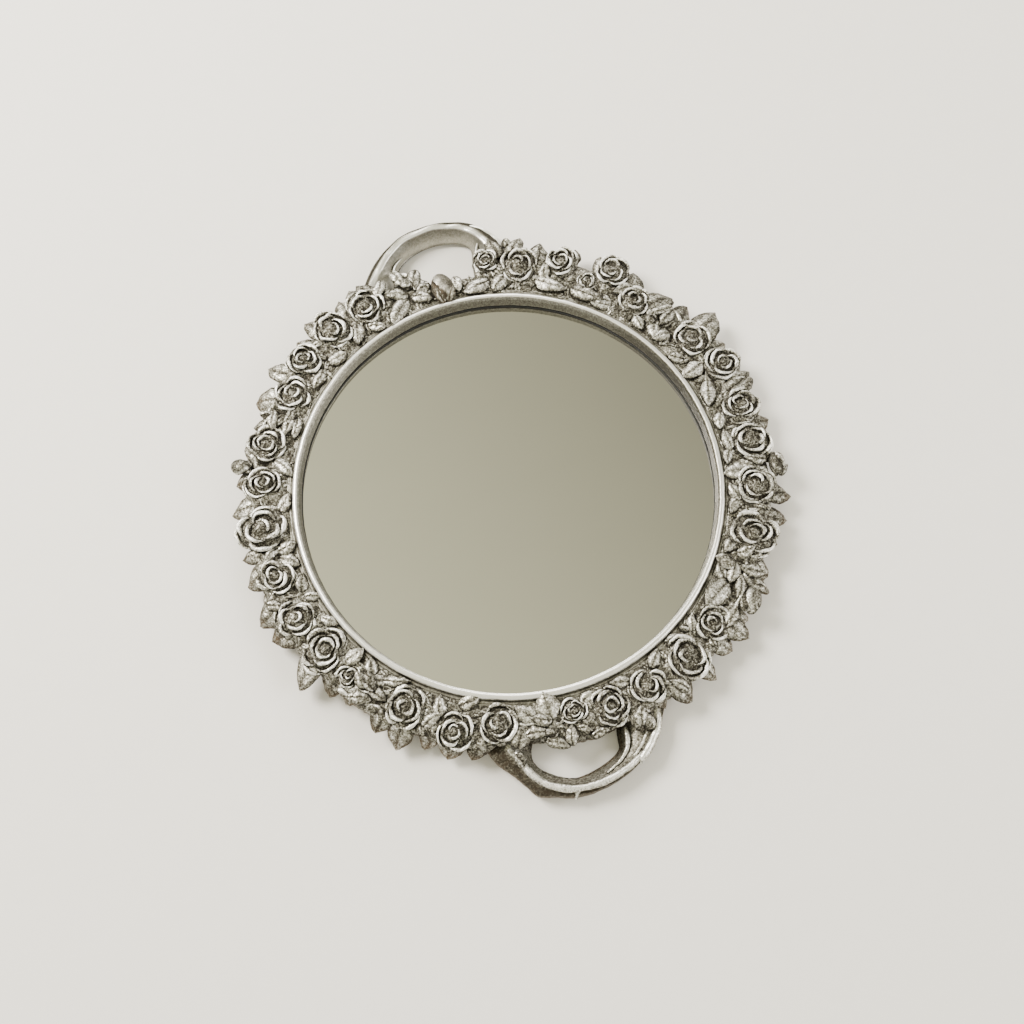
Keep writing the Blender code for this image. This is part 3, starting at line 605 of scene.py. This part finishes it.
def bed(sculpt, start, end):
    """Add the rough bed from one angle to another."""
    rows, tones = [], []
    for angle in np.linspace(start + 0.05, end - 0.05, 140):
        outer = edge_of_garland(angle) - 1.0 * MM + 1.8 * MM * noise.noise(polar(angle, 9.0))
        foot = foot_of_garland(angle)
        wall = min(RING_RADIUS + 0.4 * MM, outer - 1.0 * MM)
        section = [(BED_INNER, BED_HEIGHT + 0.2 * MM)]
        tone = [0.40]
        for share in np.linspace(0.02, 0.985, 28):
            radius = BED_INNER + (outer - BED_INNER) * share
            section.append((radius, bed_height(angle, radius)))
            tone.append(0.36 + 0.36 * bed_lumps(angle, radius))
        top = section[-1][1]
        for share in np.linspace(0.08, 1, 7):
            height = top + (foot - top) * share
            bulge = 1.1 * MM * noise.noise(Vector((angle * 0.9, height / (3.5 * MM), 4.0)))
            section.append((outer + bulge - 1.2 * MM * share, height))
            tone.append(0.34)
        section += [(wall, foot), (wall, BED_HEIGHT + 0.2 * MM)]
        tone += [0.1, 0.1]
        rows.append([polar(angle, radius, height) for radius, height in section[::-1]])
        tones.append(tone[::-1])
    sculpt.loft(rows, tones)


def outer_leaf(sculpt, row, seed):
    """Add one leaf of OUTER_LEAVES: it starts on the bed and its tip comes down to the given height."""
    angle, tip, length, width, height, yaw, rounded = row
    length *= 1.15
    base = (tip - length * math.cos(math.radians(yaw))) * MM
    drop = math.degrees(math.asin(min(0.8, (18.5 - height) / length)))
    place = heading_place(angle, base, 17.5 * MM, yaw, drop)
    leaf(sculpt, place, length * MM, width * 1.22 * MM, 4.6 * MM, not rounded, seed, tone=0.30, arch=0.16)


def small_bud(sculpt, row, seed):
    """Add one bud of SMALL_BUDS, sunk a little into the bed."""
    angle, middle, length, width, height, heading, most = row
    if most is None:
        low = on_bed(angle, middle * MM, 1.5 * MM)
    else:
        low = min(most * MM, on_bed(angle, middle * MM, 1.0 * MM))
    place = heading_place(angle, middle * MM, low, heading)
    bud(sculpt, place, length * MM, width * MM, height * MM, seed)


def scraps(sculpt, start, end, number):
    """Scatter small leaves over the bed from one angle to another."""
    chance = random.Random(SCRAP_SEED + number)
    for index in range(SCRAPS):
        angle = chance.uniform(start + 1.5, end - 1.5)
        radius = chance.choice((chance.uniform(159.5, 170), chance.uniform(170, 189))) * MM
        if radius > edge_of_garland(angle) - 4 * MM:
            continue
        length, width = chance.uniform(7, 12), chance.uniform(3.5, 6)
        place = laid_place(angle, radius, 0.9 * MM, chance.uniform(0, 360), -5, length)
        tone = chance.uniform(0.26, 0.52)
        leaf(sculpt, place, length * MM, width * MM, 2.4 * MM, True, index + 300, tone, arch=0.08)


def within(table, start, end):
    """The numbers and rows of a table whose angle lies in a span."""
    return [(index, row) for index, row in enumerate(table) if start <= row[0] % 360 < end]


def garland(name, number):
    """The rough bed under the flowers of one garland, with its leaves, stems and small buds."""
    span = 360 / len(GARLANDS)
    start, end = (number - 1) * span, number * span
    sculpt = Sculpt()
    bed(sculpt, start, end)
    for index, row in within(OUTER_LEAVES, start, end):
        outer_leaf(sculpt, row, index)
    for index, (angle, middle, length, width, heading) in within(INNER_LEAVES, start, end):
        place = laid_place(angle, middle * MM, 0.1 * MM, 180 + heading, -4, length)
        size = (length * 1.1 * MM, width * 1.2 * MM, 4.2 * MM)
        leaf(sculpt, place, *size, True, index + 100, tone=0.45, arch=0.10)
    for index, (angle, middle, length, width, heading) in within(FILLER_LEAVES, start, end):
        place = laid_place(angle, middle * MM, 0.2 * MM, heading, -6, length)
        size = (length * MM, width * 1.1 * MM, 3.6 * MM)
        leaf(sculpt, place, *size, True, index + 200, tone=0.42, arch=0.12)
    scraps(sculpt, start, end, number)
    for index, row in within(SMALL_BUDS, start, end):
        small_bud(sculpt, row, index)
    for index, (points, thick) in enumerate(VINES):
        if start <= points[1][0] % 360 < end:
            line = []
            for angle, radius in points:
                line.append(polar(angle, radius * MM, on_bed(angle, radius * MM, 0.5 * MM)))
            stem(sculpt, line, thick * MM, thick * 0.8 * MM, seed=index)
    sculpt.roughen(6.0 * MM, 0.80 * MM, number)
    sculpt.roughen(1.9 * MM, 0.34 * MM, number + 20)
    return sculpt.make(f"{name}_leaves")


# ---------- ring and handles


# The ring's section in mm, as radius and height. First the outer wall, the steps behind and the glass's seat,
# and last the grooved strip between the bead and the bed
RING_BACK = (
    (172.5, 17), (174, 15.5), (174, 9), (174, 1.8), (165.6, 1.8), (165.6, 4.4), (156.5, 4.4), (156.5, 8),
    (152.9, 8), (152.9, 13.3), (150.2, 14), (149.7, 14.6),
)
RING_GROOVES = (
    (155.9, 21.2), (156.2, 20.5), (156.5, 20.2), (157.2, 20.6), (157.8, 20.5), (158.2, 20), (158.9, 20.3),
    (159.6, 20), (160.6, 18.6), (166, 17),
)
# The bead between them: radius of its middle, half its width, and its top, in mm
BEAD_RADIUS, BEAD_HALF, BEAD_TOP = 153.2, 2.6, RING_HIGH.z / MM


def ring_tone(angle, radius, height):
    """The ring's tone at an angle in degrees and a radius and height in mm: brushed silver, with painted shade
    on the wall and the bead's inner side near 0 degrees and a painted highlight on the bead's inner side near
    270 degrees.
    """
    # Painted highlight on the bead's inner side, strongest at 270 degrees
    painted_bead_highlight = max(0.0, -math.sin(math.radians(angle)) - 0.4) / 0.6
    # Painted shade on the wall and the bead's inner side, strongest near 0 degrees
    wall_shade = max(0.0, math.cos(math.radians(angle - 4)) - 0.72) / 0.28
    if height > BEAD_TOP - 2.7 and radius < 156.2:
        if radius < BEAD_RADIUS - 1.0:
            return 0.40 + 0.55 * painted_bead_highlight - 0.30 * wall_shade
        # The bead's top: brushed silver and a painted highlight
        return 0.30 + 0.78 * min(1.0, (height - BEAD_TOP + BEAD_HALF) / 2.2)
    if height > 14.5 and radius < 151:
        return 0.36 * (1 - wall_shade)
    if height > 18.5:
        return 0.46
    return 0.16 if radius > 153 else 0.0


def ring_wave(angle, radius, height):
    """How far hand finishing moved the ring's surface there, in mm; the back stays true."""
    wave = 0.0
    if height > 13.8 and radius < 162:
        wave = 0.22 * noise.noise(polar(angle, 14.0, radius * 0.05))
        wave += 0.10 * noise.noise(polar(angle, 60.0, radius * 0.3))
    if height > 18.0 and radius > 156:
        wave += 0.55 * noise.noise(polar(angle, 70.0, radius * 0.6))
    return wave


def ring_casting():
    """The base ring: hand-finished bead and sloping wall in front, clean steps behind."""
    profile = list(RING_BACK)
    for share in np.linspace(0.08, 0.94, 7):
        profile.append((149.5 + 1.15 * share, 14.6 + 6.9 * share))
    for angle in np.linspace(168, 12, 11):
        turn = math.radians(angle)
        height = BEAD_TOP - BEAD_HALF * (1 - math.sin(turn))
        profile.append((BEAD_RADIUS + BEAD_HALF * math.cos(turn), height))
    profile += RING_GROOVES
    rows, tones = [], []
    for angle in np.arange(0, 360, 0.75):
        row = []
        for radius, height in profile:
            wave = ring_wave(angle, radius, height)
            row.append(polar(angle, (radius + wave) * MM, (height + wave * 0.6) * MM))
        rows.append(row)
        tones.append([ring_tone(angle, radius, height) for radius, height in profile])
    sculpt = Sculpt()
    sculpt.loft(rows, tones, ring=True)
    return sculpt.make("ring_casting")


# The section of a handle as place, height and tone: 0 to 1 is its outer wall, 1 to 2 its ridge, and 2 to 3
# the slope to the opening. The height is a share of the handle's, and the tone is 1 for the brightest silver.
# The outer wall's dark tone is dark patina and painted shadow, and the ridge's is brushed silver and a painted
# highlight
HANDLE_SECTION = (
    (0.30, 0, 0), (0.05, 0.10, 0), (0, 0.50, 0), (0.02, 0.80, -0.05), (0.20, 0.95, -0.10),
    (0.70, 0.98, -0.10), (1.04, 1, 0.50), (1.50, 1, 1), (2, 0.98, 0.95), (2.16, 0.88, 0.40),
    (2.40, 0.70, 0.42), (2.66, 0.46, 0.46), (2.88, 0.20, 0.54), (3, 0.05, 0.56), (2.92, 0, 0.2),
)
RIDGE_WIDTH = 3.6 * MM
HANDLE_STEPS, SECTION_STEPS = 200, 48
# The width of the slope at which a raised web starts to fill it, and how much wider it is when full
WEB_START, WEB_EASE = 9 * MM, 8 * MM


def handle_body(sculpt, outlines, height, floor_tone, crest_tone, seed):
    """Add a handle over its three outlines: dark outer wall, bright ridge, plain slope or web inside."""
    lines = []
    for outline in outlines:
        points = [polar(angle, radius * MM) for angle, radius in outline]
        lines.append(smooth_path(points, HANDLE_STEPS)[:, :2])
    section = smooth_path(HANDLE_SECTION, SECTION_STEPS, closed=True)
    rows = []
    for index in range(HANDLE_STEPS):
        outer, ridge, inner = (line[index] for line in lines)
        gap = np.linalg.norm(outer - ridge)
        brink = ridge + (outer - ridge) * min(0.72, RIDGE_WIDTH / gap)
        web = min(1.0, max(0.0, (np.linalg.norm(inner - ridge) - WEB_START) / WEB_EASE))
        share = index / (HANDLE_STEPS - 1)
        row = np.empty((len(section), 3))
        for column, (across, up, _) in enumerate(section):
            if across <= 1:
                spot = outer + (brink - outer) * across
            elif across <= 2:
                spot = brink + (ridge - brink) * (across - 1)
            else:
                inward = across - 2
                spot = ridge + (inner - ridge) * inward
                if up > 0.03:
                    up += web * (1 - 0.22 * inward - 0.70 * inward**6 - up)
            lift = 1 + 0.05 * noise.noise(Vector((share * 14, across * 0.8, seed)))
            row[column] = (*spot, LOOP_FOOT + up * height * lift)
        rows.append(row)
    sculpt.loft(rows, floor_tone + (crest_tone - floor_tone) * section[:, 2])


def upper_handle():
    """The smooth upper loop: a bright ridge that slopes down inside, with side stems at its feet."""
    sculpt = Sculpt()
    outlines = (UPPER_OUTER, UPPER_RIDGE, UPPER_INNER)
    handle_body(sculpt, outlines, 15.6 * MM, floor_tone=0.10, crest_tone=1.02, seed=1)
    stems(sculpt, UPPER_STEMS)
    sculpt.roughen(9.0 * MM, 0.40 * MM, 31)
    sculpt.roughen(1.8 * MM, 0.08 * MM, 32)
    return sculpt.make("upper_handle")


def lower_handle():
    """The lower loop: thorny stems that cross over a sloped body."""
    sculpt = Sculpt()
    outlines = (LOWER_OUTER, LOWER_RIDGE, LOWER_INNER)
    handle_body(sculpt, outlines, 11.0 * MM, floor_tone=0.08, crest_tone=0.72, seed=2)
    stems(sculpt, LOWER_STEMS)
    stems(sculpt, THORNS)
    sculpt.roughen(8.0 * MM, 0.40 * MM, 41)
    sculpt.roughen(2.4 * MM, 0.25 * MM, 42)
    return sculpt.make("lower_handle")


# ---------- materials


class Nodes:
    """Builds the nodes of a material, or of a world, with short calls."""

    def __init__(self, owner, shader="Principled BSDF"):
        owner.use_nodes = True
        self.owner = owner
        self.tree = owner.node_tree
        self.shader = self.tree.nodes[shader]

    def add(self, kind, values=(), **settings):
        """A new node with plain values on its sockets, and its settings."""
        node = self.tree.nodes.new("ShaderNode" + kind)
        for socket, value in dict(values).items():
            node.inputs[socket].default_value = value
        for key, value in settings.items():
            setattr(node, key, value)
        return node

    def link(self, output, node, socket):
        """Join an output to a node's input."""
        self.tree.links.new(output, node.inputs[socket])

    def noise(self, scale, detail=3.0, roughness=0.6, stretch=(1, 1, 1)):
        """Noise over the object's own coordinates, with its scale in waves a metre."""
        place = self.add("TexCoord")
        mapping = self.add("Mapping", {"Scale": stretch})
        texture = self.add("TexNoise", {"Scale": scale, "Detail": detail, "Roughness": roughness})
        self.link(place.outputs["Object"], mapping, "Vector")
        self.link(mapping.outputs[0], texture, "Vector")
        return texture.outputs[0]

    def ranged(self, value, low, high, to_low=0.0, to_high=1.0):
        """A value mapped from one range to another, and held inside it."""
        node = self.add("MapRange", {1: low, 2: high, 3: to_low, 4: to_high})
        self.link(value, node, 0)
        return node.outputs[0]

    def maths(self, operation, first, second):
        """One sum of two values, either of them a plain number."""
        node = self.add("Math", operation=operation)
        for socket, value in enumerate((first, second)):
            if isinstance(value, (int, float)):
                node.inputs[socket].default_value = value
            else:
                self.link(value, node, socket)
        return node.outputs[0]

    def ramp(self, value, *stops):
        """A colour ramp through stops of place and colour."""
        node = self.add("ValToRGB")
        elements = node.color_ramp.elements
        while len(elements) < len(stops):
            elements.new(0.5)
        for element, (place, colour) in zip(elements, stops):
            element.position = place
            element.color = (*colour, 1.0)
        self.link(value, node, 0)
        return node.outputs[0]

    def mix(self, share, first, second):
        """A colour between two, each a socket or a plain colour."""
        node = self.add("Mix", data_type="RGBA")
        self.link(share, node, 0)
        for socket, value in ((6, first), (7, second)):
            if isinstance(value, tuple):
                node.inputs[socket].default_value = (*value, 1.0)
            else:
                self.link(value, node, socket)
        return node.outputs[2]

    def paint(self, colour, roughness, metallic=0.0):
        """Set the shader's colour, roughness and metal."""
        self.link(colour, self.shader, "Base Color")
        self.link(roughness, self.shader, "Roughness")
        self.shader.inputs["Metallic"].default_value = metallic

    def bump(self, height, strength, distance):
        """Raise the surface's shading by a height."""
        node = self.add("Bump", {"Strength": strength, "Distance": distance})
        self.link(height, node, "Height")
        self.link(node.outputs[0], self.shader, "Normal")


def painted(name):
    """The nodes of a new material."""
    return Nodes(bpy.data.materials.new(name))


def antique_silver(name, lift, grain, brown, brown_top=15.0 * MM, relief=0.55, brown_tone=0.50):
    """Dark casting with silver brushed over its high places, browner low down where the silver didn't reach,
    with painted shade in its crevices, painted highlights on its sharp edges, and the painted light and shade
    that each point's tone carries.

    lift brightens it, grain speckles it and relief deepens its bumps; brown is how strong the brown is, which
    starts below brown_top and keeps to places whose tone of brushed silver and painted light is below
    brown_tone.
    """
    nodes = painted(name)
    geometry = nodes.add("NewGeometry")
    brushing_and_light = nodes.add("Attribute", attribute_name="brushing_and_painted_light")
    # Painted shade: darker in crevices and between parts, by how enclosed each spot is
    shade = nodes.add("AmbientOcclusion", {"Distance": 4.0 * MM}, samples=6)
    crevice_shade = nodes.ranged(shade.outputs["AO"], 0.15, 0.85, -0.40, 0.0)
    # Sharp edges lighter: rubbed silver and a painted highlight; folds a little darker: painted shade
    edge = nodes.ranged(geometry.outputs["Pointiness"], 0.47, 0.56, -0.06, 0.22)
    cloud = 0.03 + 0.30 * grain
    blotch = nodes.ranged(nodes.noise(300, 4, 0.65), 0.30, 0.70, -cloud, cloud)
    fine = nodes.noise(760, 3, 0.75)
    speck = nodes.ranged(fine, 0.38, 0.62, -grain, grain)
    # The sum below is the brushed silver together with painted highlights and painted shade
    brushed = brushing_and_light.outputs["Fac"]
    for part in (crevice_shade, edge, nodes.maths("ADD", blotch, speck), lift):
        brushed = nodes.maths("ADD", brushed, part)
    colour = nodes.ramp(
        brushed,
        (0.0, (0.016, 0.013, 0.008)),
        (0.24, (0.058, 0.053, 0.039)),
        (0.50, (0.188, 0.180, 0.148)),
        (0.76, (0.480, 0.464, 0.400)),
        (1.0, (0.960, 0.950, 0.890)),
    )
    position = nodes.add("SeparateXYZ")
    nodes.link(geometry.outputs["Position"], position, 0)
    low = nodes.ranged(position.outputs[2], brown_top, brown_top - 9.0 * MM, 0.0, brown)
    low = nodes.maths("MULTIPLY", low, nodes.ranged(nodes.noise(220), 0.35, 0.60, 0.35, 1.0))
    bare = nodes.ranged(brushing_and_light.outputs["Fac"], brown_tone * 0.3, brown_tone, 1.0, 0.12)
    low = nodes.maths("MULTIPLY", low, bare)
    colour = nodes.mix(low, colour, (0.120, 0.080, 0.044))
    nodes.paint(colour, nodes.ranged(brushed, 0.1, 0.9, 0.58, 0.28), 0.75)
    nodes.bump(fine, relief, 0.55 * MM)
    return nodes.owner


def mirror_silver():
    """Silvered glass: a clear reflection, faintly warm, with barely seen wiping marks."""
    nodes = painted("mirror_silvering")
    smear = nodes.noise(14, 3, 0.55, (1.0, 2.2, 1.0))
    colour = nodes.mix(smear, (0.83, 0.83, 0.79), (0.86, 0.86, 0.82))
    nodes.paint(colour, nodes.ranged(smear, 0.35, 0.75, 0.012, 0.035), 1.0)
    return nodes.owner


def hardboard():
    """Brown pressed board: fine felted fibres and darker flecks."""
    nodes = painted("hardboard")
    fibres = nodes.noise(900, 5, 0.75, (1.0, 0.25, 1.0))
    flecks = nodes.noise(240)
    mixed = nodes.maths("ADD", nodes.maths("MULTIPLY", fibres, 0.7), nodes.maths("MULTIPLY", flecks, 0.3))
    browns = ((0.30, (0.060, 0.034, 0.018)), (0.55, (0.145, 0.085, 0.045)), (0.8, (0.24, 0.15, 0.085)))
    colour = nodes.ramp(mixed, *browns)
    nodes.paint(colour, nodes.ranged(flecks, 0.3, 0.7, 0.62, 0.82))
    nodes.bump(fibres, 0.4, 0.2 * MM)
    return nodes.owner


def felt():
    """Black felt: matted fibres with a little sheen."""
    nodes = painted("black_felt")
    fibres = nodes.noise(2600, 4, 0.8)
    colour = nodes.ramp(fibres, (0.3, (0.006, 0.006, 0.007)), (0.7, (0.040, 0.040, 0.042)))
    nodes.paint(colour, nodes.ranged(fibres, 0.3, 0.7, 0.85, 1.0))
    nodes.shader.inputs["Sheen Weight"].default_value = 0.35
    nodes.bump(fibres, 0.8, 0.4 * MM)
    return nodes.owner


def zinc_steel():
    """Zinc-plated steel: rolling lines, a few dull patches."""
    nodes = painted("zinc_steel")
    lines = nodes.noise(1300, 3, 0.6, (0.15, 1.0, 1.0))
    patches = nodes.noise(160)
    colour = nodes.mix(nodes.ranged(patches, 0.35, 0.7), (0.62, 0.61, 0.57), (0.46, 0.44, 0.40))
    nodes.paint(colour, nodes.ranged(lines, 0.3, 0.7, 0.26, 0.44), 1.0)
    nodes.bump(lines, 0.15, 0.08 * MM)
    return nodes.owner


def foam_tape():
    """Thin black glazing tape with a fine closed-cell surface."""
    nodes = painted("foam_tape")
    cells = nodes.noise(3000, 2, 0.5)
    colour = nodes.ramp(cells, (0.3, (0.010, 0.010, 0.010)), (0.7, (0.035, 0.035, 0.033)))
    nodes.paint(colour, nodes.ranged(cells, 0.3, 0.7, 0.75, 0.95))
    nodes.bump(cells, 0.5, 0.1 * MM)
    return nodes.owner


def repaint(node, material):
    """Give a CAD node that stays as it is a finished material."""
    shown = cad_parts[node]
    shown.data.materials.clear()
    shown.data.materials.append(material)


# ---------- stage


FLOOR_REACH = 6.0
FLOOR_GAP = 0.2 * MM
# The lights, all aimed at the object: place and side in metres, power in watts, and colour
LIGHTS = (
    ("key", (-1.1, 0.9, 1.5), 0.8, 84, (1.0, 0.955, 0.88)),
    ("fill", (1.5, -0.6, 1.1), 1.2, 26, (1.0, 0.97, 0.92)),
    ("back", (0.3, 1.7, 0.9), 1.0, 26, (1.0, 0.97, 0.92)),
)
# The camera: lens and sensor in mm, place with its height above the glass, tilt from straight down and turn
LENS = 46.9
SENSOR = 36
CAMERA_X, CAMERA_Y, CAMERA_RISE = -0.0858, -0.3190, 0.9125
CAMERA_TILT, CAMERA_TURN = 19, -15.5
# The room's colours: pale walls, and a ceiling that is dimmer on one side
WALLS = (0.96, 0.94, 0.89)
CEILING = ((0.0, (0.700, 0.668, 0.462)), (1.0, (0.340, 0.322, 0.222)))
CEILING_SLANT = (1.0, 0.36, 0.0)
ROOM_STRENGTH = 1.25


def floor():
    """The plain pale floor, just under the object."""
    nodes = painted("pale_floor")
    colour = nodes.mix(nodes.noise(60), (0.87, 0.845, 0.795), (0.90, 0.875, 0.825))
    nodes.link(colour, nodes.shader, "Base Color")
    nodes.shader.inputs["Roughness"].default_value = 0.85
    corners = [(x * FLOOR_REACH, y * FLOOR_REACH, 0) for x, y in ((-1, -1), (1, -1), (1, 1), (-1, 1))]
    mesh = bpy.data.meshes.new("floor")
    mesh.from_pydata(corners, [], [(0, 1, 2, 3)])
    mesh.materials.append(nodes.owner)
    made = add_object("floor", mesh)
    made.location.z = CAD_LOW.z - FLOOR_GAP


def room():
    """The soft room that lights the scene and shows in the glass."""
    world = bpy.data.worlds.new("room")
    bpy.context.scene.world = world
    nodes = Nodes(world, "Background")
    ways = nodes.add("TexCoord").outputs["Generated"]
    slant = nodes.add("VectorMath", {1: CEILING_SLANT}, operation="DOT_PRODUCT")
    nodes.link(ways, slant, 0)
    ceiling = nodes.ramp(nodes.ranged(slant.outputs["Value"], 0.05, 0.35), *CEILING)
    split = nodes.add("SeparateXYZ")
    nodes.link(ways, split, 0)
    colour = nodes.mix(nodes.ranged(split.outputs[2], 0.30, 0.80), WALLS, ceiling)
    nodes.link(colour, nodes.shader, "Color")
    nodes.shader.inputs["Strength"].default_value = ROOM_STRENGTH


def stage():
    """The floor, the soft lights and the camera."""
    floor()
    room()
    for name, place, size, power, colour in LIGHTS:
        data = bpy.data.lights.new(name, "AREA")
        data.size = size
        data.energy = power
        data.color = colour
        light = add_object(name, data)
        light.location = place
        light.rotation_euler = (-Vector(place)).to_track_quat("-Z", "Y").to_euler()
    data = bpy.data.cameras.new("camera")
    data.sensor_width = SENSOR
    data.lens = LENS
    camera = add_object("camera", data)
    camera.location = (CAMERA_X, CAMERA_Y, GLASS_FRONT + CAMERA_RISE)
    camera.rotation_euler = (math.radians(CAMERA_TILT), 0, math.radians(CAMERA_TURN))
    bpy.context.scene.camera = camera


# ---------- the object


def build():
    """Sculpt every silver piece over its CAD node, and give the nodes that stay their materials."""
    rose_finish = antique_silver("silver_rose", lift=-0.08, grain=0.36, brown=0.4, relief=0.7)
    leaf_finish = antique_silver("silver_leaf", -0.09, 0.32, 1.0, brown_top=18.5 * MM, brown_tone=0.75)
    bud_finish = antique_silver("silver_bud", -0.12, 0.16, 0.42, brown_top=32.0 * MM, relief=0.30)
    ring_finish = antique_silver("silver_ring", 0.0, 0.11, 0.2, relief=0.25)
    upper_finish = antique_silver("silver_upper", 0.04, 0.05, 0.1, relief=0.15)
    lower_finish = antique_silver("silver_lower", 0.02, 0.24, 0.9, relief=0.45, brown_tone=0.34)
    set_piece(ring_casting(), ring_finish, "frame_silver", "frame_ring")
    set_piece(upper_handle(), upper_finish, "frame_silver", "upper_loop")
    set_piece(lower_handle(), lower_finish, "frame_silver", "lower_loop")
    for number, name in enumerate(GARLANDS, 1):
        set_piece(garland(name, number), leaf_finish, "leaf_silver", name)
    for number, name in enumerate(ROSES, 1):
        set_piece(rose(name, number), rose_finish, "rose_silver", name)
    for number, (name, heading) in enumerate(BUDS, 1):
        finish = bud_finish if name == "bud_top" else leaf_finish
        set_piece(closed_bud(name, heading, number), finish, "rose_silver", name)
    repaint("mirror_glass", mirror_silver())
    repaint("glazing_tape", foam_tape())
    repaint("backing_board", hardboard())
    repaint("felt_ring", felt())
    steel = zinc_steel()
    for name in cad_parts:
        if name.startswith(("turn_button", "button_screw")):
            repaint(name, steel)


build()
stage()
